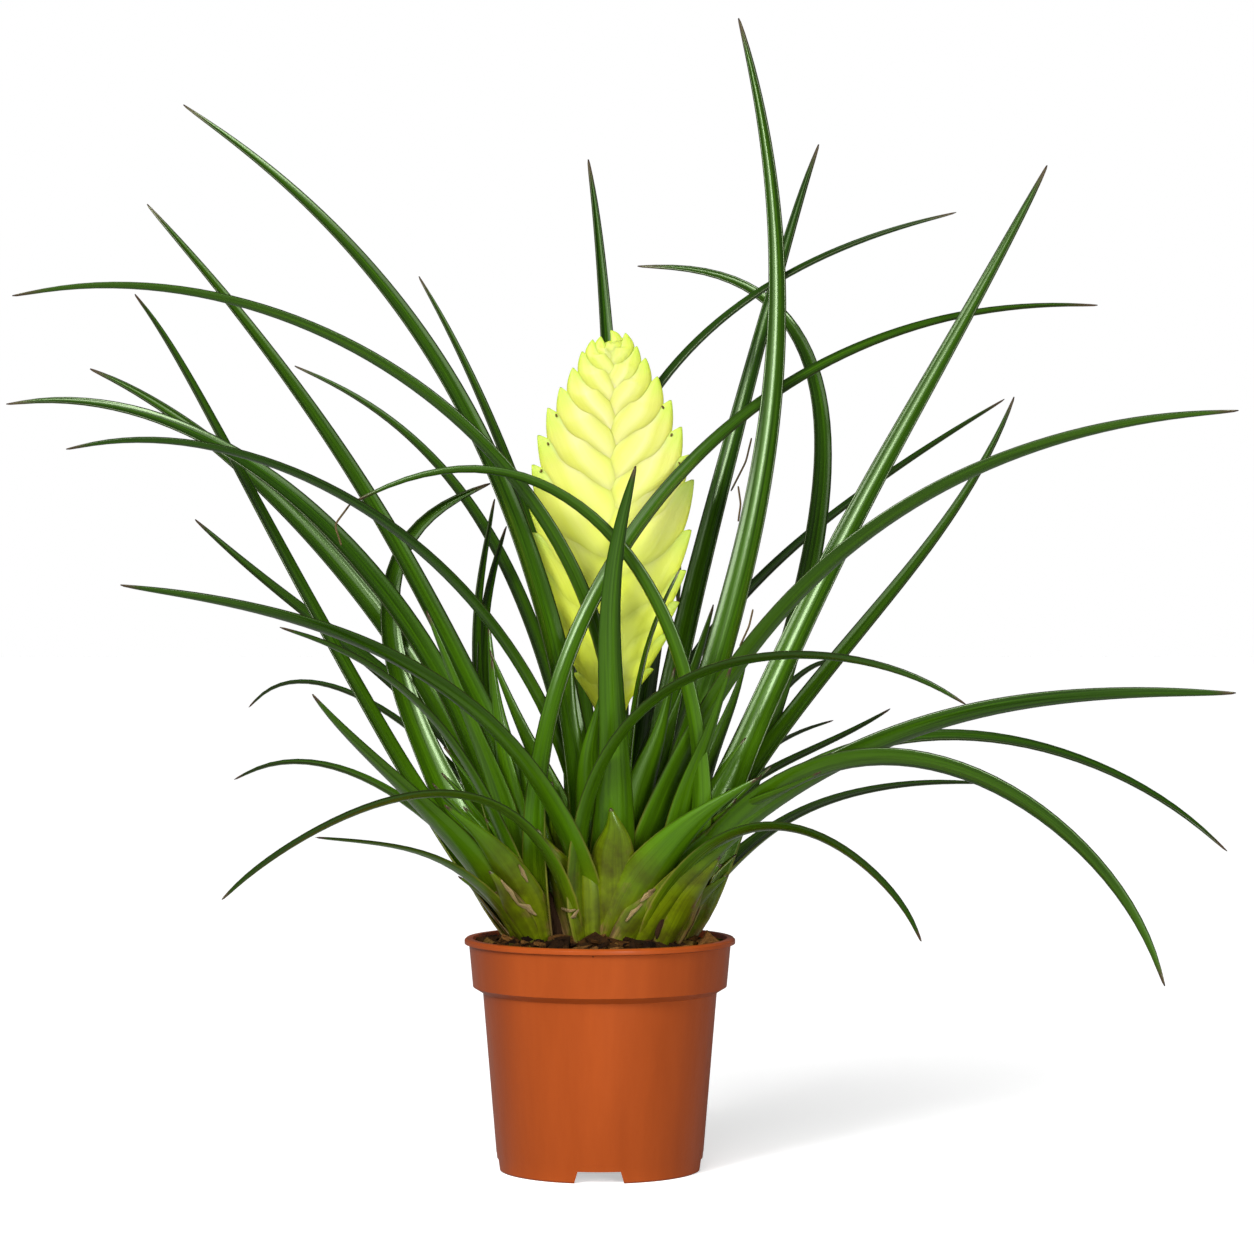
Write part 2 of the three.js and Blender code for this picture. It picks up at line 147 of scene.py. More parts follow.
def soft_light(kind, name, place, power, **settings):
    bpy.ops.object.light_add(type=kind, location=place)
    light = bpy.context.object
    light.name = name
    light.data.energy = power
    for setting, value in settings.items():
        setattr(light.data, setting, value)
    aim = LIGHTS_AIM - Vector(place)
    light.rotation_euler = aim.to_track_quat("-Z", "Y").to_euler()


soft_light("SUN", "high_light", (-1.0, -2.4, 2.1), 2.0, angle=math.radians(48))
soft_light("AREA", "lamp", (-0.7, -1.2, 0.9), 18, shape="DISK", size=0.5)
soft_light("AREA", "low_lamp", (0.5, -1.35, 0.3), 12, shape="DISK", size=0.5)

# Nursery pot: one thin injection-moulded shell of terracotta-coloured plastic, with a
# rolled lip, a deep collar, a notched foot ring and drain holes. It is turned from a
# ring, and the notches and holes are cut out of it.
POT_HEIGHT = 76.8
POT_LIP_RADIUS = 45
POT_WALL = 1.2
POT_SIDES = 160
POT_ROUNDING = 0.35
FOOT_RING_INNER = 30.9
NOTCH_COUNT = 4
NOTCH_SIZE = (9, 18.4, 7.8)
NOTCH_TOP_SHARE = 0.76
NOTCH_REACH = 33
DRAIN_COUNT = 6
DRAIN_RADIUS = 4
DRAIN_DEPTH = 9
DRAIN_REACH = 21
TERRACOTTA = [(0.0, (0.27, 0.047, 0.006)), (1.0, (0.32, 0.058, 0.008))]


def only(pieces):
    bpy.ops.object.select_all(action="DESELECT")
    for piece in pieces:
        piece.select_set(True)
    bpy.context.view_layer.objects.active = pieces[0]


def turned(name, outline, sides):
    # The outline is a row of (radius, height), from the first ring to the last
    (radius, height), *rest = outline
    bpy.ops.object.select_all(action="DESELECT")
    bpy.ops.mesh.primitive_circle_add(
        vertices=sides, radius=radius * MM, fill_type="NGON", location=(0, 0, height * MM))
    piece = bpy.context.object
    piece.name = name
    bpy.ops.object.transform_apply(location=True)
    bpy.ops.object.mode_set(mode="EDIT")
    bpy.ops.mesh.select_all(action="SELECT")
    bpy.ops.mesh.region_to_loop()
    for next_radius, next_height in rest:
        rise = (next_height - height) * MM
        bpy.ops.mesh.extrude_edges_move(TRANSFORM_OT_translate={"value": (0, 0, rise)})
        share = next_radius / radius
        bpy.ops.transform.resize(value=(share, share, 1), center_override=(0, 0, next_height * MM))
        radius, height = next_radius, next_height
    bpy.ops.mesh.edge_face_add()
    bpy.ops.mesh.select_all(action="SELECT")
    bpy.ops.mesh.normals_make_consistent(inside=False)
    bpy.ops.object.mode_set(mode="OBJECT")
    return piece


def finish_with(piece, kind, **settings):
    only([piece])
    modifier = piece.modifiers.new(kind.lower(), kind)
    for name, value in settings.items():
        setattr(modifier, name, value)
    bpy.ops.object.modifier_apply(modifier=modifier.name)


def cut_away(piece, cutters):
    only(cutters)
    if len(cutters) > 1:
        bpy.ops.object.join()
    cutter = bpy.context.object
    finish_with(piece, "BOOLEAN", operation="DIFFERENCE", object=cutter, solver="EXACT")
    bpy.data.objects.remove(cutter)


# Up the outside from the foot ring to the lip, and down the inside to the floor
pot = turned("nursery_pot", [
    (FOOT_RING_INNER, 3.3), (FOOT_RING_INNER, 0), (33.4, 0), (33.9, 0.5), (34.35, 5.6),
    (34.45, 5.8), (38.9, 58.7), (42.2, 60.7), (43.5, 74.6), (POT_LIP_RADIUS, 75),
    (POT_LIP_RADIUS, 76.2), (44.4, POT_HEIGHT), (43.5 - POT_WALL, POT_HEIGHT),
    (42.2 - POT_WALL, 61.3), (38.9 - POT_WALL, 59.2), (34.3 - POT_WALL, 4.5)], POT_SIDES)

# Each notch narrows upwards
notches = []
for step in range(NOTCH_COUNT):
    around = math.tau * step / NOTCH_COUNT - math.pi / 2
    bpy.ops.mesh.primitive_cube_add(size=1, scale=[side * MM for side in NOTCH_SIZE])
    notch = bpy.context.object
    bpy.ops.object.mode_set(mode="EDIT")
    bpy.ops.mesh.select_all(action="DESELECT")
    bpy.ops.object.mode_set(mode="OBJECT")
    for face in notch.data.polygons:
        face.select = face.normal.z > 0.9
    bpy.ops.object.mode_set(mode="EDIT")
    bpy.ops.transform.resize(value=(1, NOTCH_TOP_SHARE, 1))
    bpy.ops.object.mode_set(mode="OBJECT")
    reach = NOTCH_REACH * MM
    notch.location = (reach * math.cos(around), reach * math.sin(around), 0)
    notch.rotation_euler = (0, 0, around)
    notches.append(notch)
cut_away(pot, notches)

drains = []
for step in range(DRAIN_COUNT):
    around = math.tau * (step + 0.5) / DRAIN_COUNT
    reach = DRAIN_REACH * MM
    bpy.ops.mesh.primitive_cylinder_add(
        vertices=32, radius=DRAIN_RADIUS * MM, depth=DRAIN_DEPTH * MM,
        location=(reach * math.cos(around), reach * math.sin(around), 4 * MM))
    drains.append(bpy.context.object)
cut_away(pot, drains)

finish_with(pot, "BEVEL", width=POT_ROUNDING * MM, segments=3, limit_method="ANGLE",
            angle_limit=math.radians(22))
only([pot])
bpy.ops.object.shade_smooth_by_angle(angle=math.radians(35))


def effect_group(name, **sockets):
    group = bpy.data.node_groups.new(name, "ShaderNodeTree")
    for socket_name, start in sockets.items():
        kind = "NodeSocketFloat" if isinstance(start, float) else "NodeSocketVector"
        socket = group.interface.new_socket(socket_name, in_out="INPUT", socket_type=kind)
        socket.default_value = start
    group.interface.new_socket("Value", in_out="OUTPUT", socket_type="NodeSocketFloat")
    return group, group.nodes.new("NodeGroupInput").outputs


def give_out(group, value):
    group_out = group.nodes.new("NodeGroupOutput")
    group.links.new(value, group_out.inputs["Value"])


# An uneven patchiness that the plastic, the bark, the leaves, the scraps and the stalk share
mottle, given = effect_group("mottle", Vector=(0, 0, 0), Scale=60.0, Low=0.0, High=1.0)
coarse = add_node(mottle, "TexNoise", {
    "Vector": given["Vector"], "Scale": given["Scale"], "Detail": 5.0, "Roughness": 0.62})
give_out(mottle, ranged(mottle, coarse.outputs["Fac"], 0.3, 0.7, given["Low"], given["High"]))


def mottled(tree, vector, **inputs):
    inputs["Vector"] = vector
    return add_node(tree, "Group", inputs, node_tree=mottle).outputs["Value"]


def bumped(tree, shader, height, distance, strength=1.0):
    bump = add_node(tree, "Bump", {"Height": height, "Distance": distance, "Strength": strength})
    tree.links.new(bump.outputs["Normal"], shader.inputs["Normal"])


plastic, tree, shader = new_material(
    "terracotta_plastic", Coat_Weight=0.12, Coat_Roughness=0.22, Specular_IOR_Level=0.1)
place = add_node(tree, "TexCoord").outputs["Object"]
flow = add_node(tree, "Mapping", {"Vector": place, "Scale": (1, 1, 0.12)}).outputs["Vector"]
shade = color_ramp(tree, mottled(tree, flow, Scale=90.0), TERRACOTTA)
tree.links.new(shade, shader.inputs["Base Color"])
tree.links.new(mottled(tree, flow, Scale=240.0, Low=0.36, High=0.46), shader.inputs["Roughness"])
bumped(tree, shader, mottled(tree, place, Scale=900.0), 0.00004, 0.5)
pot.data.materials.append(plastic)
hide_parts("pot")
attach(pot, "root")

# Potting mix: a plug of dark peat that fills the pot to just under its lip, with coarse
# bark chips, a few tan splinters and bits of moss lying loose on top.
SOIL_TOP = 72.4
SOIL_RADIUS = 40.4
SOIL_SWELL = 2.4
SOIL_RINGS = 18
SOIL_SIDES = 96
CHIP_COUNT = 620
CHIP_REACH = 39.2
CHIP_LENGTHS = (1.8, 2.6, 3.6, 5, 7)
HEAP_RADIUS = 39.5
HEAP_HEIGHT = 4.3
BARK_BROWNS = [
    (0.0, (0.007, 0.002, 0.0004)), (0.4, (0.024, 0.009, 0.0015)), (0.68, (0.058, 0.023, 0.004)),
    (0.86, (0.17, 0.075, 0.018)), (0.95, (0.050, 0.044, 0.004)), (1.0, (0.07, 0.06, 0.006))]

soil_rings = []
for step in range(1, SOIL_RINGS):
    share = 1 - step / SOIL_RINGS
    soil_rings.append((SOIL_RADIUS * share, SOIL_TOP + SOIL_SWELL * (1 - share ** 2)))
soil = turned("potting_mix", [
    (32.4, 4.9), (37.1, 58.4), (40.2, 61.8), (40.5, SOIL_TOP - 1.5), *soil_rings], SOIL_SIDES)


def pick(piece, wanted):
    only([piece])
    bpy.ops.object.mode_set(mode="EDIT")
    bpy.ops.mesh.select_mode(type="VERT")
    bpy.ops.mesh.select_all(action="DESELECT")
    bpy.ops.object.mode_set(mode="OBJECT")
    for vertex in piece.data.vertices:
        vertex.select = wanted(vertex.co)
    bpy.ops.object.mode_set(mode="EDIT")


pick(soil, lambda co: co.z > (SOIL_TOP + 0.1) * MM)
bpy.ops.transform.vertex_random(offset=1.1 * MM, uniform=0.4, seed=3)
bpy.ops.object.mode_set(mode="OBJECT")


def put_copy(model, size, turn, place, tone):
    piece = model.copy()
    piece.data = model.data.copy()
    shape = Matrix.Diagonal((*(Vector(size) * MM), 1))
    piece.data.transform(Matrix.Translation(Vector(place) * MM) @ turn @ shape)
    piece.data.attributes["tone"].data.foreach_set("value", [tone] * len(piece.data.vertices))
    bpy.context.collection.objects.link(piece)
    return piece


chip_models = []
for seed in (2, 5, 9, 14):
    bpy.ops.mesh.primitive_cube_add(size=1)
    chip_model = bpy.context.object
    bpy.ops.object.mode_set(mode="EDIT")
    bpy.ops.mesh.subdivide(number_cuts=1, fractal=3.0, fractal_along_normal=0.3, seed=seed)
    bpy.ops.object.mode_set(mode="OBJECT")
    chip_model.data.attributes.new("tone", "FLOAT", "POINT")
    chip_models.append(chip_model)
soil.data.attributes.new("tone", "FLOAT", "POINT")

random.seed(11)
chips = [soil]
for index in range(CHIP_COUNT):
    reach = CHIP_REACH * math.sqrt(random.random())
    around = random.random() * math.tau
    length = random.choice(CHIP_LENGTHS) * random.uniform(0.7, 1.2)
    size = (length, length * random.uniform(0.35, 0.8), length * random.uniform(0.15, 0.4))
    turn = Matrix.Rotation(random.random() * math.tau, 4, "Z") \
        @ Matrix.Rotation(random.uniform(-0.5, 0.5), 4, "X") \
        @ Matrix.Rotation(random.uniform(-0.5, 0.5), 4, "Y")
    lift = SOIL_TOP + random.uniform(0.2, 2.2) + HEAP_HEIGHT * (1 - (reach / HEAP_RADIUS) ** 2)
    place = (reach * math.cos(around), reach * math.sin(around), lift)
    chips.append(put_copy(random.choice(chip_models), size, turn, place, random.random()))

# A split chip that stands above the rim, and an old stub in two bits in front of the middle
# crown, each with its size, how far it leans, its place and its tone
standing = [
    (chip_models[0], (6, 3.5, 5.2), 0.7, (36, -9, 75.6), 0.86),
    (chip_models[1], (3.4, 2.6, 7), -0.2, (-0.8, -14.5, 77), 0.1),
    (chip_models[2], (1.6, 1.6, 5), 0.35, (0.2, -14.5, 80), 0.3),
]
for model, size, lean, place, tone in standing:
    chips.append(put_copy(model, size, Matrix.Rotation(lean, 4, "Y"), place, tone))
only(chips)
bpy.ops.object.join()
for chip_model in chip_models:
    bpy.data.objects.remove(chip_model)


def marked(tree, mark):
    return add_node(tree, "Attribute", attribute_name=mark).outputs["Fac"]


bark, tree, shader = new_material("bark_mix", Specular_IOR_Level=0.1)
place = add_node(tree, "TexCoord").outputs["Object"]
patches = mottled(tree, place, Scale=420.0, Low=0.45, High=1.25)
browns = color_ramp(tree, marked(tree, "tone"), BARK_BROWNS)
shade = blend(tree, 1.0, browns, patches, "MULTIPLY")
tree.links.new(shade, shader.inputs["Base Color"])
tree.links.new(mottled(tree, place, Scale=700.0, Low=0.7, High=0.95), shader.inputs["Roughness"])
bumped(tree, shader, mottled(tree, place, Scale=1100.0), 0.0004)
soil.data.materials.append(bark)
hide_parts("soil")
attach(soil, "root")

# Crowns: three rosettes of long gutter-shaped leaves, each on its own short stem in the
# bark. A leaf is lofted through copies of one open arc that follow its curve, widens at
# the foot into a pale sheath, and gets its thickness last.
LEAF_THICKNESS = 0.8
LEAF_STATION_GAP = 11
LEAF_MIN_STATIONS = 9
LEAF_ROOT_HEIGHT = 73
LEAF_GUTTER = 0.42
LEAF_FULLNESS = 1.22
LEAF_SWAY = 0.4
LEAF_MIN_HALF = 0.25
ARC_SIDES = 32
ARC_OPENING = 270
SHEATH_WIDENING = 0.6
SHEATH_FADE = (22, 80)
FOOT_SCALES = 9
BLADE_MARKS = ("along", "reach", "tone", "dryness", "across")
LEAF_RIM_PALE = (0.16, 0.16, 0.02)
LEAF_RIM_DARK = (0.010, 0.012, 0.002)
LEAF_TIP_BROWN = (0.050, 0.028, 0.018)
LEAF_SPLASH_BROWN = (0.030, 0.019, 0.003)
LEAF_STRAWS = ((0.035, 0.017, 0.005), (0.22, 0.13, 0.05))

# Each crown's middle, radius, stem height, and how far its foot leans to the right
crowns = {
    "main_rosette": ((2, 2), 9.5, 104, 0),
    "left_offset": ((-25, -3), 7.5, 104, -0.5),
    "right_offset": ((22.6, -7.4), 7.5, 104, 0.5),
}
# A leaf's points a third and two thirds of the way along and at the tip, each as (across,
# up, depth) seen from the front, then its width, how far its face turns, and for some
# leaves in front the point where it comes out of the bark
leaves = {
    "main_rosette": [
        # reaching left
        [(-19, 186.5, -8), (-63.7, 281.5, 24), (-139, 354, 60), 8.5, 50],
        [(-46, 165.5, 14), (-92.8, 246.5, 30), (-151, 321, 42), 8, 50],
        [(-9, 197, -13), (-86, 275, -31), (-196, 290, -45), 6.5, -40],
        [(-28.7, 169.3, -18), (-97.3, 229, -54), (-178, 239, -86), 6.5, -30],
        [(-15, 155.5, 40), (-45.5, 223, 86), (-102, 267, 126), 6.5, 45],
        [(-11, 159, 30), (-29.6, 231, 64), (-60.5, 297, 98), 6.5, 45],
        [(-34, 144, -44), (-94, 179.5, -74), (-160, 194, -100), 8, -35],
        [(-37, 121, -48), (-86, 116, -92), (-126, 89, -122), 7, -15, (-8, 70, -10)],
        # upright in the middle
        [(5, 168, 24), (4, 252, 50), (-4, 336, 80), 7.5, 75],
        [(5, 137, -24), (4, 187, -34), (12, 234, -42), 9, -75],
        [(9, 125, -11), (14, 165, -11), (27, 200, -9), 4.5, 25],
        [(4, 98, -21), (4.5, 110, -24), (3.5, 120, -25), 11, -80, (4, 71, -17)],
        # reaching right
        [(43, 182, -3), (59.5, 282, 8), (46, 383, 30), 9, 65],
        [(27, 170, 16), (48, 256, 32), (73, 341, 50), 8.5, 60],
        [(-4, 205, 17), (40, 281, 15), (119, 318, 10), 8, 20],
        [(49, 170, -19), (121, 229.5, -34), (213, 252, -45), 9, -35],
        [(26, 159, 38), (74, 214, 86), (135, 256, 120), 7.5, 25],
        [(9, 146, -38), (63, 170, -84), (122, 154, -118), 7.5, -20, (-3.5, 70, -16)],
        # short and young, closing the base
        [(-6, 122, -9), (-10, 148, -11), (-10, 180, -11), 9, -70],
        [(-2, 120, -14), (-3, 140, -18), (2, 163, -20), 9, -80],
        [(13, 120, -5), (19, 142, -6), (25, 167, -7), 10, -60],
        [(16, 118, 4), (26, 150, 10), (38, 188, 18), 9, -50],
        [(-14, 117, 4), (-25, 143, 10), (-37, 173, 16), 9, -45],
        [(15, 98, -24), (31, 115, -30), (53, 130, -36), 9.5, -85, (3, 72, -17)],
        [(-12, 94, -5), (-14, 110, -3), (-16, 129, 0), 8, -65, (-12, 72, -4)],
        [(-4, 84, -18), (-4.5, 96, -19), (-7, 112, -18), 10, -85, (-3.5, 71, -17)],
        [(-9, 88, -15), (-13.7, 100, -18), (-21, 113, -21), 9, -80, (-6, 71, -15)],
        # hidden behind
        [(6, 152, 36), (8, 214, 88), (12, 236, 138), 8, 70],
        [(14, 148, 46), (22, 200, 110), (26, 186, 148), 8, 65],
        [(-6, 146, 48), (-12, 192, 108), (-18, 178, 146), 8, 65],
    ],
    "left_offset": [
        [(-76, 149.5, 18), (-119.5, 230.5, 48), (-155, 291, 82), 7.5, 30],
        [(-54, 163, 5), (-115, 233, 20), (-198, 254, 39), 9, 45],
        [(-55, 155, 32), (-107, 222, 68), (-170, 266, 98), 8, 65],
        [(-46, 136, 48), (-89, 178, 100), (-135, 216, 142), 7, 50],
        [(-54, 130, 22), (-70, 190, 44), (-36, 228, 60), 9, 70],
        [(-38, 135, 24), (-41, 182, 42), (-35, 223, 60), 5, 45],
        [(-36, 128, 20), (-40, 171, 40), (-31, 214, 62), 7.5, 40],
        [(-42, 124, 36), (-83, 158, 80), (-117, 153, 108), 5.5, 15],
        [(-46, 106, -22), (-71, 131, -48), (-96, 158, -72), 8, -50],
        [(-52, 111, 10), (-88, 133, 34), (-122, 129, 58), 6.5, 15],
        [(-45, 97, -22), (-69, 107, -48), (-95, 110, -76), 5.5, -15, (-23, 70, -8)],
        [(-39, 123, -26), (-66, 159, -58), (-107, 180, -88), 7, -20, (-20.5, 70, -7)],
        [(-4, 185, -18), (67.2, 263, 14), (166, 287, 46), 6, 50],
        # short and young
        [(-33, 118, -8), (-43, 148, -14), (-58, 186, -20), 8, -50],
        [(-29, 116, -7), (-33.5, 142, -9), (-36, 170, -11), 8, -60],
        [(-30, 126, 6), (-34, 150, 12), (-37, 182, 22), 8, -60],
        [(-19, 93, -5), (-22, 113, -3), (-28, 142, 1), 9, -65, (-21, 72, -5)],
        [(-26, 91, -18), (-36, 106, -26), (-52, 121, -36), 8, -70, (-20, 74, -12)],
        [(-26, 82, -16), (-31, 90, -20), (-37, 99, -24), 6, -70, (-21, 73, -12)],
    ],
    "right_offset": [
        [(30, 156, -24), (-10, 222, -28), (-83, 221, -38), 5.5, -50],
        [(59.8, 164, 24), (71.6, 259.3, 52), (12, 300, 76), 8.5, 60],
        [(61.2, 167.2, 4), (103.9, 250.4, 13), (149, 334, 22), 9, 60],
        [(56.5, 140, 7), (101.5, 196, 28), (138, 257, 50), 7, 45],
        [(70.5, 130, -26), (141, 154.2, -42), (212, 158, -56), 8.5, -50, (5, 70, -19)],
        [(73, 134, 0), (144, 140, -14), (209, 105, -25), 8, 25],
        [(75, 133, -36), (143, 120, -66), (188, 60, -88), 9, -40],
        [(50, 106, 24), (83, 124, 68), (129, 128, 110), 7, 20],
        [(46, 111, -46), (82, 105, -98), (107, 75, -148), 6.5, -25, (14, 70, -13)],
        [(33, 110, 34), (51, 135, 76), (78, 149, 108), 5, 15],
        [(36, 115, 14), (65, 136, 38), (97, 153, 60), 7, 20],
        [(40, 122, 36), (60, 157, 74), (80, 169, 100), 6.5, 20],
        # short and young
        [(28, 114, -14), (34, 138, -24), (44, 168, -38), 8, -60],
        [(31, 119, 8), (40, 143, 14), (49, 171, 22), 8, -60],
        [(35, 108, -14), (52, 122, -28), (74, 132, -46), 7, -40],
        [(21, 87, -22), (33, 100, -30), (47, 112, -38), 8, -70, (12, 71, -16)],
        [(26, 83, -20), (32, 93, -26), (40, 104, -32), 6, -70, (20, 72, -16)],
    ],
}


def add_marks(piece):
    for mark in BLADE_MARKS:
        piece.data.attributes.new(mark, "FLOAT", "POINT")


def open_arc(name, sides, opening):
    # Two units wide and one deep, with its gap of so many degrees at the top
    bpy.ops.object.select_all(action="DESELECT")
    bpy.ops.mesh.primitive_circle_add(vertices=sides, radius=1, fill_type="NOTHING")
    arc = bpy.context.object
    arc.name = name
    limit = math.cos(math.radians(opening / 2 - 0.5))
    pick(arc, lambda co: co.y > limit)
    bpy.ops.mesh.delete(type="VERT")
    bpy.ops.object.mode_set(mode="OBJECT")
    half = max(vertex.co.x for vertex in arc.data.vertices)
    depth = 1 + max(vertex.co.y for vertex in arc.data.vertices)
    around = [math.atan2(vertex.co.x, -vertex.co.y) for vertex in arc.data.vertices]
    arc.data.transform(Matrix.Diagonal((1 / half, 1 / depth, 1, 1)) @ Matrix.Translation((0, 1, 0)))
    add_marks(arc)
    shares = [angle / max(around) for angle in around]
    arc.data.attributes["across"].data.foreach_set("value", shares)
    return arc


def loft(section, stations):
    rings = []
    for centre, across, upper, half, rise, marks in stations:
        ring = section.copy()
        ring.data = section.data.copy()
        axes = Matrix((across * half, upper * rise, across.cross(upper))).transposed().to_4x4()
        ring.data.transform(Matrix.Scale(MM, 4) @ Matrix.Translation(centre) @ axes)
        for mark, value in marks.items():
            values = [value] * len(ring.data.vertices)
            ring.data.attributes[mark].data.foreach_set("value", values)
        bpy.context.collection.objects.link(ring)
        rings.append(ring)
    only(rings)
    bpy.ops.object.join()
    bpy.ops.object.mode_set(mode="EDIT")
    bpy.ops.mesh.select_all(action="SELECT")
    bpy.ops.mesh.bridge_edge_loops()
    bpy.ops.mesh.select_all(action="SELECT")
    bpy.ops.mesh.normals_make_consistent(inside=False)
    bpy.ops.object.mode_set(mode="OBJECT")
    piece = bpy.context.object
    upper = stations[0][2]
    if sum(face.normal.dot(upper) for face in piece.data.polygons[:6]) < 0:
        bpy.ops.object.mode_set(mode="EDIT")
        bpy.ops.mesh.flip_normals()
        bpy.ops.object.mode_set(mode="OBJECT")
    return piece


def from_front(point):
    # The place at that depth which covers (across, up) on the pot's axis, as the eye sees it
    across, up, depth = point
    return (Vector((across, 0, up)) - EYE) * ((depth - EYE.y) / -EYE.y) + EYE


def smooth_step(value, low, high):
    share = min(1, max(0, (value - low) / (high - low)))
    return share * share * (3 - 2 * share)


def blade(points, turn, half_at, rise_at, dryness=0.0, age=1.0):
    # The turn is an angle as seen from the front, or the direction that the hollow faces
    tone = random.random()
    phase = random.random() * math.tau
    side = -1 if points[-1].x < points[0].x else 1
    reach = 0
    stations = []
    for index, point in enumerate(points):
        before, after = points[max(0, index - 1)], points[min(len(points), index + 2) - 1]
        tangent = (after - before).normalized()
        reach += (point - before).length
        along = index / (len(points) - 1)
        if isinstance(turn, Vector):
            upper = (turn - tangent * turn.dot(tangent)).normalized()
        else:
            above = Vector((-side * tangent.z, 0, side * tangent.x)).normalized()
            front = above.cross(tangent)
            if front.y > 0:
                front.negate()
            upper = above * math.cos(turn) + front * math.sin(turn)
        across = upper.cross(tangent)
        half = max(LEAF_MIN_HALF, half_at(along, reach))
        sway = LEAF_SWAY * min(1, half) ** 2 * math.sin(9 * along + phase)
        sway *= smooth_step(along, 0.1, 0.5)
        marks = {"along": along, "reach": reach * age * MM, "tone": tone, "dryness": dryness}
        rise = half * rise_at(along, reach)
        stations.append((point + across * sway, across, upper, half, rise, marks))
    return loft(leaf_arc, stations)


def leaf(row, foot, radius):
    first, second, tip = [from_front(point) for point in row[:3]]
    width, turn = row[3], math.radians(row[4])
    outward = Vector((first.x - foot[0], first.y - foot[1], 0)).normalized()
    root = Vector((*foot, LEAF_ROOT_HEIGHT)) + outward * radius * 0.75
    if len(row) > 5:
        root = from_front(row[5])
    # Handles that make the curve run through both of the points on the way
    near_handle = (-5 * root + 18 * first - 9 * second + 2 * tip) / 6
    far_handle = (2 * root - 9 * first + 18 * second - 5 * tip) / 6
    rough_length = (first - root).length + (second - first).length + (tip - second).length
    count = max(LEAF_MIN_STATIONS, round(rough_length / LEAF_STATION_GAP))
    # A short leaf narrows evenly, while a long one keeps its width until near the tip
    narrowing = 0.9 - 0.35 * smooth_step(rough_length, 60, 150)

    def half_at(along, reach):
        taper = LEAF_FULLNESS * min(1, 1.12 * (1 - along) ** narrowing)
        waist = 0.55 + 0.45 * smooth_step(reach, 0, 16)
        sheath = SHEATH_WIDENING * (1 - smooth_step(reach, *SHEATH_FADE))
        sheath *= min(1, 2.5 * (1 - along))
        return width * waist * (taper + sheath) / 2

    def rise_at(along, reach):
        cupped = 1 - smooth_step(reach, 4, 40)
        return LEAF_GUTTER + 0.2 * cupped + 0.3 * smooth_step(along, 0.7, 1)

    points = interpolate_bezier(root, near_handle, far_handle, tip, count)
    # A short blade is pale like a leaf's foot for most of its length
    age = 0.55 + 0.45 * smooth_step(rough_length, 46, 75)
    return blade(points, turn, half_at, rise_at, age=age)


def foot_scale(foot, radius, around, height, width, lean, dryness):
    outward = Vector((math.cos(around), math.sin(around), 0))
    root = Vector((*foot, SOIL_TOP - 1.5)) + outward * radius
    flare = random.uniform(3, 7)
    tip = root + outward * flare + Vector((height * lean, 0, height))
    near_handle = root + outward * 0.5 + Vector((0, 0, height * 0.35))
    far_handle = root + outward * flare * 0.4 + Vector((height * lean * 0.5, 0, height * 0.75))
    points = interpolate_bezier(root, near_handle, far_handle, tip, 8)
    return blade(points, -outward, lambda along, reach: width * (1 - along ** 1.5) / 2,
                 lambda along, reach: 0.62 - 0.2 * along, dryness)


def mark_range(tree, mark, low, high, start=0.0, end=1.0):
    return ranged(tree, marked(tree, mark), low, high, start, end, interpolation_type="SMOOTHSTEP")


def figure(tree, operation, *values, **settings):
    return add_node(
        tree, "Math", dict(enumerate(values)), operation=operation, **settings).outputs[0]


# Fine lines that run the length of a blade, read from the marks that it carries
lines, given = effect_group("fine_lines", Count=10.0, Low=0.0, High=1.0)
grid = add_node(lines, "CombineXYZ", {
    "X": figure(lines, "MULTIPLY", marked(lines, "across"), given["Count"]),
    "Y": figure(lines, "MULTIPLY", marked(lines, "reach"), 14.0),
    "Z": figure(lines, "MULTIPLY", marked(lines, "tone"), 37.0)})
streaks = add_node(lines, "TexNoise", {
    "Vector": grid.outputs["Vector"], "Scale": 1.0, "Detail": 3.0, "Roughness": 0.6})
give_out(lines, ranged(lines, streaks.outputs["Fac"], 0.32, 0.68, given["Low"], given["High"]))


def fine_lines(tree, **inputs):
    return add_node(tree, "Group", inputs, node_tree=lines).outputs["Value"]


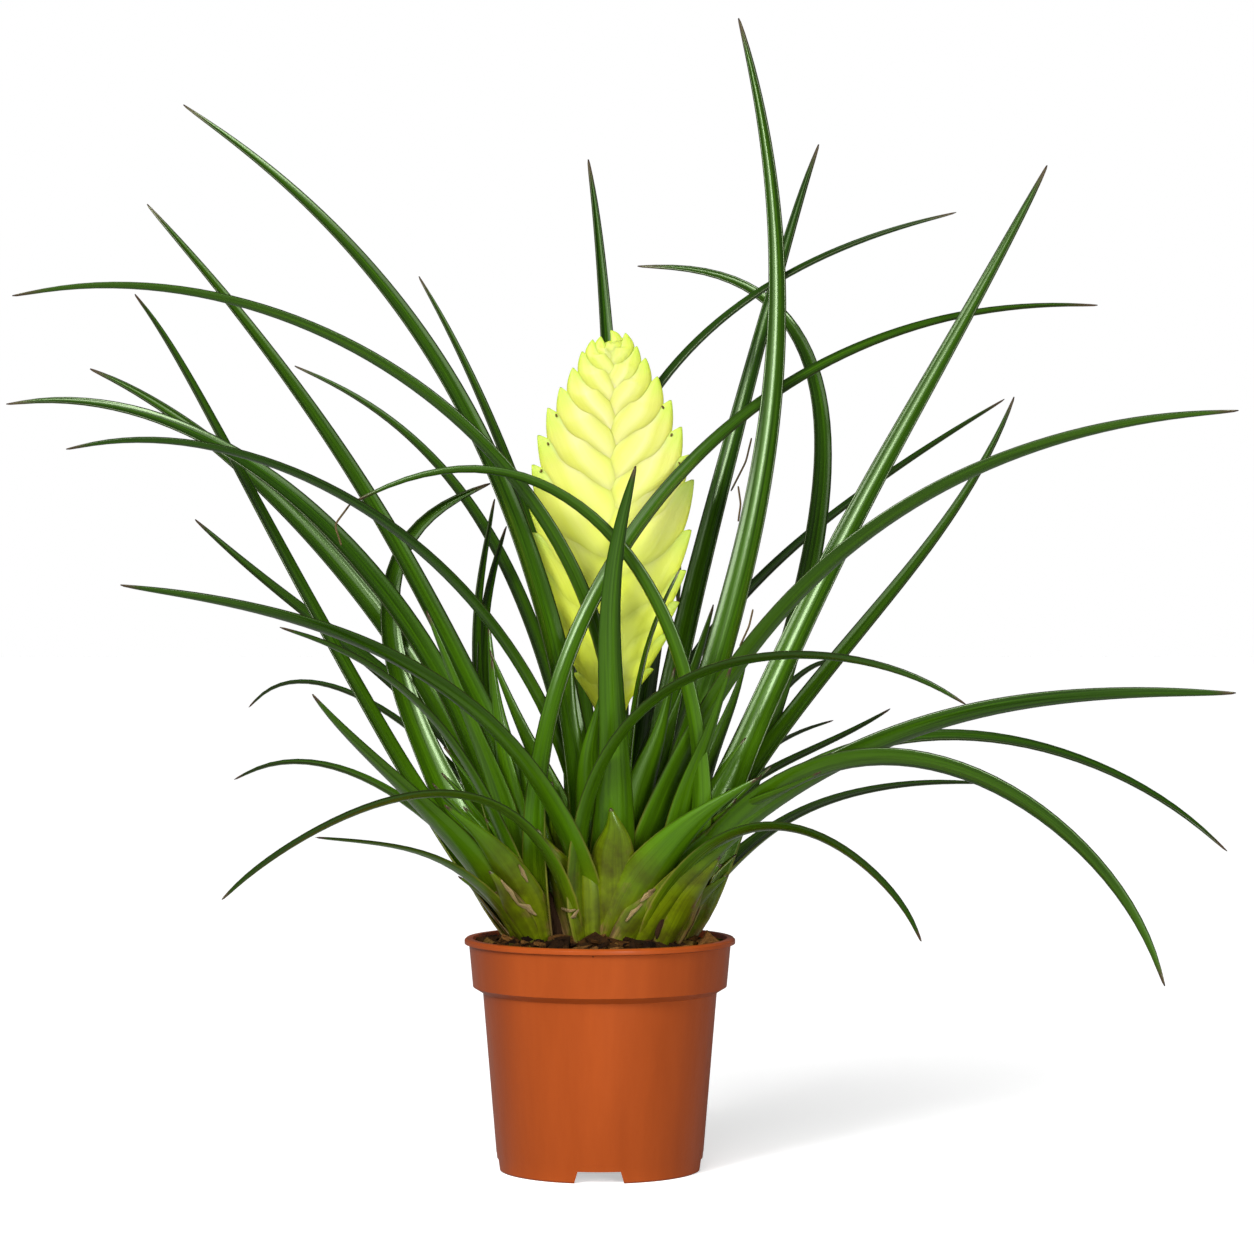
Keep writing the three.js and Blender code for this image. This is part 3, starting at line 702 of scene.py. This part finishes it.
def leaf_material(name, deep, pale, young, sheath, gloss):
    material, tree, shader = new_material(
        name, Specular_IOR_Level=0.28, Coat_Weight=0.32, Coat_Roughness=0.2)
    shader.inputs["Specular Tint"].default_value = (0.6, 1, 0.3, 1)
    # Striped green, paler where young, and yellow-green towards the sheath
    green = blend(tree, fine_lines(tree, Count=9.0), deep, pale)
    green = blend(tree, mark_range(tree, "tone", 0.0, 1.0, 0.0, 0.3), green, young)
    green = blend(tree, mark_range(tree, "reach", 0.030, 0.170, 0.9, 0.0), green, young)
    green = blend(tree, mark_range(tree, "reach", 0.008, 0.046, 1.0, 0.0), green, sheath)
    # Broad dark bands along the blade, painted shade of the gutter's unlit side
    green = blend(tree, fine_lines(tree, Count=3.0, Low=-0.25, High=0.5), green, deep)
    # Painted shade deepens both sides to round the blade; then a thin rim, and a brown point
    edge = figure(tree, "ABSOLUTE", marked(tree, "across"))
    side = ranged(tree, edge, 0.35, 0.95, 0.0, 0.6)
    side = figure(tree, "MULTIPLY", side, mark_range(tree, "reach", 0.040, 0.120))
    green = blend(tree, side, green, deep)
    rim = blend(tree, mark_range(tree, "reach", 0.025, 0.060), LEAF_RIM_PALE, LEAF_RIM_DARK)
    green = blend(tree, ranged(tree, edge, 0.9, 1.0, 0.0, 0.8), green, rim)
    green = blend(tree, mark_range(tree, "along", 0.955, 0.995), green, LEAF_TIP_BROWN)
    # Splashed brown near the bark, and dried to straw in patches and on the lowest edges
    place = add_node(tree, "TexCoord").outputs["Object"]
    splashes = mottled(tree, place, Scale=110.0, Low=-0.3, High=0.85)
    splashes = figure(tree, "MULTIPLY", mark_range(tree, "reach", 0.012, 0.050, 1.0, 0.0), splashes)
    green = blend(tree, splashes, green, LEAF_SPLASH_BROWN)
    low_edge = figure(tree, "MULTIPLY", mark_range(tree, "reach", 0.004, 0.038, 0.75, 0.0), edge)
    dry = figure(tree, "ADD", marked(tree, "dryness"), low_edge)
    worn = mottled(tree, place, Scale=120.0, Low=-0.5, High=0.3)
    dry = figure(tree, "ADD", dry, worn, use_clamp=True)
    straw = blend(tree, fine_lines(tree, Count=12.0), *LEAF_STRAWS)
    green = blend(tree, ranged(tree, dry, 0.3, 0.75), green, straw)
    tree.links.new(green, shader.inputs["Base Color"])
    rough = fine_lines(tree, Count=8.0, Low=gloss, High=gloss + 0.12)
    tree.links.new(rough, shader.inputs["Roughness"])
    bumped(tree, shader, fine_lines(tree, Count=6.0), 0.00003, 0.3)
    return material


leaf_upper = leaf_material(
    "leaf_upper", deep=(0.0015, 0.010, 0.0001), pale=(0.026, 0.084, 0.002),
    young=(0.049, 0.129, 0.0014), sheath=(0.096, 0.128, 0.0015), gloss=0.2)
leaf_under = leaf_material(
    "leaf_under", deep=(0.002, 0.012, 0.0002), pale=(0.031, 0.096, 0.003),
    young=(0.059, 0.147, 0.0018), sheath=(0.110, 0.144, 0.0018), gloss=0.25)

leaf_arc = open_arc("leaf_arc", ARC_SIDES, ARC_OPENING)
random.seed(5)
rosettes = []
for crown, (centre, radius, height, lean) in crowns.items():
    foot = (centre[0] - 9 * lean, centre[1])
    blades = [leaf(row, foot, radius) for row in leaves[crown]]
    # A ring of short broad scales round the foot, and one of narrow ones within
    for index in range(FOOT_SCALES):
        around = math.tau * (index + random.random() * 0.5) / FOOT_SCALES
        dryness = random.choice((0, 0.1, 0.25, 0.6))
        blades.append(foot_scale(foot, radius, around, random.uniform(22, 34),
                                 random.uniform(9, 12), lean, dryness))
        blades.append(foot_scale(foot, radius * 0.4, around + 0.3, random.uniform(42, 75),
                                 random.uniform(6, 8), lean, 0))
    only(blades)
    bpy.ops.object.join()
    rosette = bpy.context.object
    rosette.name = crown + "_leaves"
    rosette.data.materials.append(leaf_upper)
    rosette.data.materials.append(leaf_under)
    finish_with(rosette, "SOLIDIFY", thickness=LEAF_THICKNESS * MM, offset=0,
                material_offset=1, material_offset_rim=1)
    finish_with(rosette, "SUBSURF", levels=1, render_levels=1)
    bpy.ops.object.shade_smooth()
    stem = turned(crown + "_stem", [
        (radius * 0.8, SOIL_TOP - 8), (radius * 0.9, LEAF_ROOT_HEIGHT + 2),
        (radius * 0.75, (LEAF_ROOT_HEIGHT + height) / 2), (radius * 0.3, height)], 32)
    add_marks(stem)
    stem.data.transform(Matrix.Translation((foot[0] * MM, foot[1] * MM, 0)))
    stem.data.materials.append(leaf_upper)
    only([rosette, stem])
    bpy.ops.object.join()
    rosettes.append(rosette)
    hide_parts(crown)
    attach(rosette, "root")

# Dry bits: papery scraps of old sheaths that lie on the foot of the plant, old sheaths
# between the crowns, near-black partly for their own dark brown and partly as painted shade
# of the gaps, and hair-thin dead leaf tips that have curled. Each is a thin blade that is
# lofted as a leaf is.
HAIR_WIDTH = 1
OLD_SHEATH_WIDTH = 4
SCRAP_THICKNESS = 0.35
SCRAP_CLEARANCE = 0.8
DRY_STRAWS = ((0.15, 0.09, 0.03), (0.50, 0.38, 0.17))
DRY_STAIN = (0.08, 0.04, 0.012)
DRY_DARK_AND_GAP_SHADE = (0.030, 0.012, 0.003)

# A bit's two ends with a point between them, as seen from the front, then its width
dry_bits = [
    [(-33, 96, -15), (-30, 92, -16), (-26.5, 87, -16), 1.7],
    [(-27.5, 88, -15), (-24, 86.5, -16), (-21, 84, -14), 2.2],
    [(-27, 101, -13), (-25.5, 98, -14), (-24, 95, -14), 1.6],
    [(-13, 86.5, -13), (-10.5, 85.5, -15), (-8, 86, -14), 1.3],
    [(-10.5, 81, -14), (-9, 83.5, -15), (-7, 86, -15), 1.6],
    [(13.5, 88.5, -20), (16, 91, -21), (18.5, 93, -20), 2.4],
    [(8.5, 82, -17), (11, 85, -19), (14, 88, -20), 1.6],
    [(-18, 74, -9), (-18.5, 83, -10), (-21, 96, -9), 8],
    [(-14, 74, -10), (-15, 82, -11), (-17, 92, -10), 6],
    [(19, 76, -17), (21, 84, -20), (25, 93, -22), 6],
    [(43.5, 225, 25), (48.5, 235, 22), (50.5, 243, 20), 0.4],
    [(46, 215, 1), (46.8, 221, 1), (46, 227, 2), 0.4],
    [(46.5, 173.5, -19), (49.5, 180, -20), (51, 186, -19), 0.4],
    [(-83, 221, -38), (-88, 214, -39), (-86, 207, -39), 0.35],
]


def laid_on_leaves(point):
    # In front of the first leaf that the eye meets there
    aim = (from_front(point) - EYE).normalized()
    hits = [rosette.ray_cast(EYE * MM, aim) for rosette in rosettes]
    reaches = [(place - EYE * MM).length for hit, place, normal, face in hits if hit]
    return EYE + aim * (min(reaches) / MM - SCRAP_CLEARANCE)


random.seed(23)
bits = []
for *places, width in dry_bits:
    if width < HAIR_WIDTH:
        put, hollow, dryness = from_front, 0.7, 0.66
    elif width < OLD_SHEATH_WIDTH:
        put, hollow, dryness = laid_on_leaves, 0.3, 1.0
    else:
        put, hollow, dryness = from_front, 0.7, 0.5
    start, bend, end = [put(place) for place in places]
    near_handle = start + (bend - start) * 1.3
    far_handle = end + (bend - end) * 1.3
    points = interpolate_bezier(start, near_handle, far_handle, end, 9)
    bits.append(blade(points, math.radians(-70),
                      lambda along, reach: width * (0.12 + math.sin(math.pi * along) ** 0.7) / 2.4,
                      lambda along, reach: hollow, dryness))
only(bits)
bpy.ops.object.join()
scraps = bpy.context.object
scraps.name = "dry_scraps"
finish_with(scraps, "SOLIDIFY", thickness=SCRAP_THICKNESS * MM, offset=0)
finish_with(scraps, "SUBSURF", levels=1, render_levels=1)
bpy.ops.object.shade_smooth()
dry_sheath, tree, shader = new_material("dry_sheath", Specular_IOR_Level=0.2, Roughness=0.8)
place = add_node(tree, "TexCoord").outputs["Object"]
shade = blend(tree, fine_lines(tree, Count=6.0), *DRY_STRAWS)
shade = blend(tree, mottled(tree, place, Scale=70.0, Low=-0.7, High=0.7), shade, DRY_STAIN)
# Near-black where the dryness mark is low: the old sheaths' own dark brown, and on the wide ones
# painted shade of the gaps between crowns
shade = blend(tree, mark_range(tree, "dryness", 0.5, 0.9), DRY_DARK_AND_GAP_SHADE, shade)
tree.links.new(shade, shader.inputs["Base Color"])
bumped(tree, shader, fine_lines(tree, Count=7.0), 0.0002)
scraps.data.materials.append(dry_sheath)
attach(scraps, "root")
bpy.data.objects.remove(leaf_arc)

# Flower stalk: a short round stem of firm green tissue that rises out of the middle crown
# and ends inside the foot of the paddle. It is turned as the pot is.
STALK_PLACE = (2.4, 3)
STALK_GREENS = [(0.0, (0.14, 0.22, 0.035)), (1.0, (0.24, 0.34, 0.06))]

stalk = turned("flower_stem", [(2.4, 84), (2.2, 110), (2.3, 140), (2.1, 156)], 24)
add_marks(stalk)
stalk.data.transform(Matrix.Translation((STALK_PLACE[0] * MM, STALK_PLACE[1] * MM, 0)))
only([stalk])
bpy.ops.object.shade_smooth_by_angle(angle=math.radians(40))
stalk_skin, tree, shader = new_material("stalk_skin", Specular_IOR_Level=0.4, Roughness=0.45)
place = add_node(tree, "TexCoord").outputs["Object"]
flow = add_node(tree, "Mapping", {"Vector": place, "Scale": (1, 1, 0.1)}).outputs["Vector"]
shade = color_ramp(tree, mottled(tree, flow, Scale=700.0), STALK_GREENS)
tree.links.new(shade, shader.inputs["Base Color"])
bumped(tree, shader, mottled(tree, flow, Scale=900.0), 0.0001)
stalk.data.materials.append(stalk_skin)
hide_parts("flower_stalk")
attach(stalk, "root")

# Paddle: two ranks of folded, boat-shaped bracts that clasp a flat axis. Each is an open
# fold whose keel looks down and out and ends in a small upright tooth on the paddle's
# edge, and it is lofted from the axis out to that tooth.
PADDLE_FOOT = 146
PADDLE_HEIGHT = 133
PADDLE_DEPTH = 3
BRACT_HALF_DEPTH = 2.9
BRACT_THICKNESS = 0.4
BRACT_STATIONS = 15
BRACT_DEPTHS = [(0, 0.5), (0.35, 1), (0.65, 0.88), (0.9, 0.5), (1, 0.05)]
BRACT_FOLDS = [(0, 0.35), (0.35, 1), (0.82, 1.15), (0.94, 0.6), (1, 0.03)]
TOOTH_NOTCH = (3.4, 2.5)
CORE_MIDDLE = 4.2
CORE_FLATNESS = 0.13
LEMON_RIDGE_HIGHLIGHTS = [
    (0.0, (0.51, 0.53, 0.060)), (0.5, (0.55, 0.55, 0.070)), (0.63, (0.67, 0.63, 0.22)),
    (0.72, (0.66, 0.62, 0.19)), (0.88, (0.54, 0.55, 0.070)), (1.0, (0.49, 0.52, 0.060))]
LEMON_STRIPE = (0.58, 0.58, 0.10)
LOW_GREEN_AND_PAINTED_LIGHT = (0.82, 0.95, 0.036)
TOP_GREEN = (0.50, 0.63, 0.055)
TOOTH_GREEN = (0.42, 0.62, 0.035)
SPECK_BROWN = (0.10, 0.055, 0.012)

# Where the teeth stand on the right and on the left, as (across, up), from the top down
teeth = {
    1: [(3.4, 279), (8.4, 278.2), (12.3, 273.8), (15.2, 269.9), (19.2, 263.8), (23.8, 255.9),
        (27.3, 247), (30.4, 237.6), (31.4, 229.4), (30.6, 212.6), (28.9, 199), (26.6, 188.5),
        (23, 177.5), (18, 166)],
    -1: [(0.4, 277), (-2.4, 276), (-6, 272.1), (-9.1, 266.7), (-13.3, 260.2), (-17.5, 253.3),
         (-20.9, 244.2), (-22.8, 234.4), (-24.6, 223), (-23.6, 211.5), (-21.6, 200), (-18.5, 188),
         (-14.5, 176), (-9, 164.5)],
}


def paddle_middle(height):
    share = (height - PADDLE_FOOT) / PADDLE_HEIGHT
    return 2.7 + 0.8 * share + 1.4 * math.sin(math.pi * share)


def through(stops, at):
    for (low, start), (high, end) in zip(stops, stops[1:]):
        if at <= high:
            return start + (end - start) * smooth_step(at, low, high)
    return stops[-1][1]


def bract(side, row):
    tip_across, tip_height = teeth[side][row]
    next_across, next_height = teeth[side][min(row + 1, len(teeth[side]) - 1)]
    reach = max(3, side * (tip_across - paddle_middle(tip_height)))
    low = max(PADDLE_FOOT, tip_height - 1.4 * reach - 10)
    start = Vector((paddle_middle(low) + side * 0.4, PADDLE_DEPTH, low))
    tip = Vector((tip_across, PADDLE_DEPTH, tip_height))
    rise = tip_height - low
    near_handle = start + Vector((side * reach * 0.36, 0, rise * 0.36))
    length = math.hypot(reach, rise) * 1.05
    # The keel leaves the tooth below it at a small notch, and then rises steeply to its own
    small = min(1, reach / 20)
    notch_height = min(next_height - TOOTH_NOTCH[1] * small, tip_height - 3)
    notch = Vector((next_across - side * TOOTH_NOTCH[0] * small, PADDLE_DEPTH, notch_height))
    at = 1 - 0.82 * (tip - notch).length / length
    rest = 1 - at
    far_handle = notch - start * rest ** 3 - near_handle * 3 * rest ** 2 * at - tip * at ** 3
    far_handle /= 3 * rest * at ** 2
    points = interpolate_bezier(start, near_handle, far_handle, tip, BRACT_STATIONS)
    swell = min(1, 0.6 + reach / 28)
    tone = random.random()
    stations = []
    for index, point in enumerate(points):
        before, after = points[max(0, index - 1)], points[min(len(points), index + 2) - 1]
        tangent = (after - before).normalized()
        along = index / (len(points) - 1)
        inner = Vector((-side * tangent.z, 0, side * tangent.x))
        half = BRACT_HALF_DEPTH * swell * through(BRACT_DEPTHS, along)
        fold = (1.5 + 0.28 * length) * through(BRACT_FOLDS, along)
        marks = {"along": along, "reach": point.z * MM, "tone": tone}
        stations.append((point, Vector((0, side, 0)), inner, half, fold, marks))
    return loft(bract_arc, stations)


bract_arc = open_arc("bract_arc", 20, 100)
random.seed(8)
bracts = [bract(side, row) for side in teeth for row in range(len(teeth[side]))]
only(bracts)
bpy.ops.object.join()
paddle = bpy.context.object
paddle.name = "flower_paddle"
finish_with(paddle, "SOLIDIFY", thickness=BRACT_THICKNESS * MM, offset=0)
finish_with(paddle, "SUBSURF", levels=1, render_levels=1)
bpy.ops.object.shade_smooth()
bpy.data.objects.remove(bract_arc)

# The flat axis that the bracts clasp
core = turned("paddle_core", [
    (2.3, 147), (9, 163), (15, 183), (19, 205), (20, 222), (17, 240), (12.5, 256), (8.5, 267),
    (4.5, 274), (1, 275.5)], 40)
bpy.ops.object.mode_set(mode="EDIT")
bpy.ops.mesh.select_all(action="SELECT")
bpy.ops.transform.resize(value=(1, CORE_FLATNESS, 1), center_override=(0, 0, 0))
bpy.ops.object.mode_set(mode="OBJECT")
core.data.transform(Matrix.Translation((CORE_MIDDLE * MM, PADDLE_DEPTH * MM, 0)))
add_marks(core)
heights = [vertex.co.z for vertex in core.data.vertices]
core.data.attributes["reach"].data.foreach_set("value", heights)
only([core])
bpy.ops.object.shade_smooth()
only([paddle, core])
bpy.ops.object.join()

# Small brown specks in the notches between the upper teeth
specks = [(-14.5, 250.5), (-17.3, 241), (-19.6, 232), (21, 253.2), (23.8, 244), (26.5, 234.5)]
bpy.ops.mesh.primitive_ico_sphere_add(subdivisions=1, radius=1)
speck_model = bpy.context.object
add_marks(speck_model)
dryness = [1] * len(speck_model.data.vertices)
speck_model.data.attributes["dryness"].data.foreach_set("value", dryness)
pieces = [paddle]
for across, height in specks:
    place = (across, PADDLE_DEPTH, height)
    turn = Matrix.Rotation(random.uniform(-0.5, 0.5), 4, "Y")
    pieces.append(put_copy(speck_model, (0.5, 2.2, 0.9), turn, place, random.random()))
only(pieces)
bpy.ops.object.join()
bpy.data.objects.remove(speck_model)

bract_skin, tree, shader = new_material(
    "bract_skin", Specular_IOR_Level=0.35, Coat_Weight=0.08, Coat_Roughness=0.4,
    Subsurface_Weight=0.4, Subsurface_Scale=0.004)
shader.inputs["Subsurface Radius"].default_value = (1.0, 0.9, 0.25)
# Lemon, with a painted highlight along each bract's ridge and painted shade towards the
# grooves, greener at the paddle's foot and top and on the teeth
skin = color_ramp(tree, figure(tree, "ABSOLUTE", marked(tree, "across")), LEMON_RIDGE_HIGHLIGHTS)
skin = blend(tree, fine_lines(tree, Count=6.0, High=0.5), skin, LEMON_STRIPE)
# The foot's green is also brightened, painted light against the shadow of the leaves in front
skin = blend(tree, mark_range(tree, "reach", 0.165, 0.245, 0.95, 0.0), skin, LOW_GREEN_AND_PAINTED_LIGHT)
skin = blend(tree, mark_range(tree, "reach", 0.250, 0.280, 0.0, 0.75), skin, TOP_GREEN)
skin = blend(tree, mark_range(tree, "along", 0.80, 1.0, 0.0, 0.8), skin, TOOTH_GREEN)
skin = blend(tree, mark_range(tree, "dryness", 0.4, 0.6), skin, SPECK_BROWN)
tree.links.new(skin, shader.inputs["Base Color"])
tree.links.new(fine_lines(tree, Count=9.0, Low=0.42, High=0.55), shader.inputs["Roughness"])
bumped(tree, shader, fine_lines(tree, Count=8.0), 0.00012, 0.5)
paddle.data.materials.append(bract_skin)
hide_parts("flower_spike")
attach(paddle, "root")
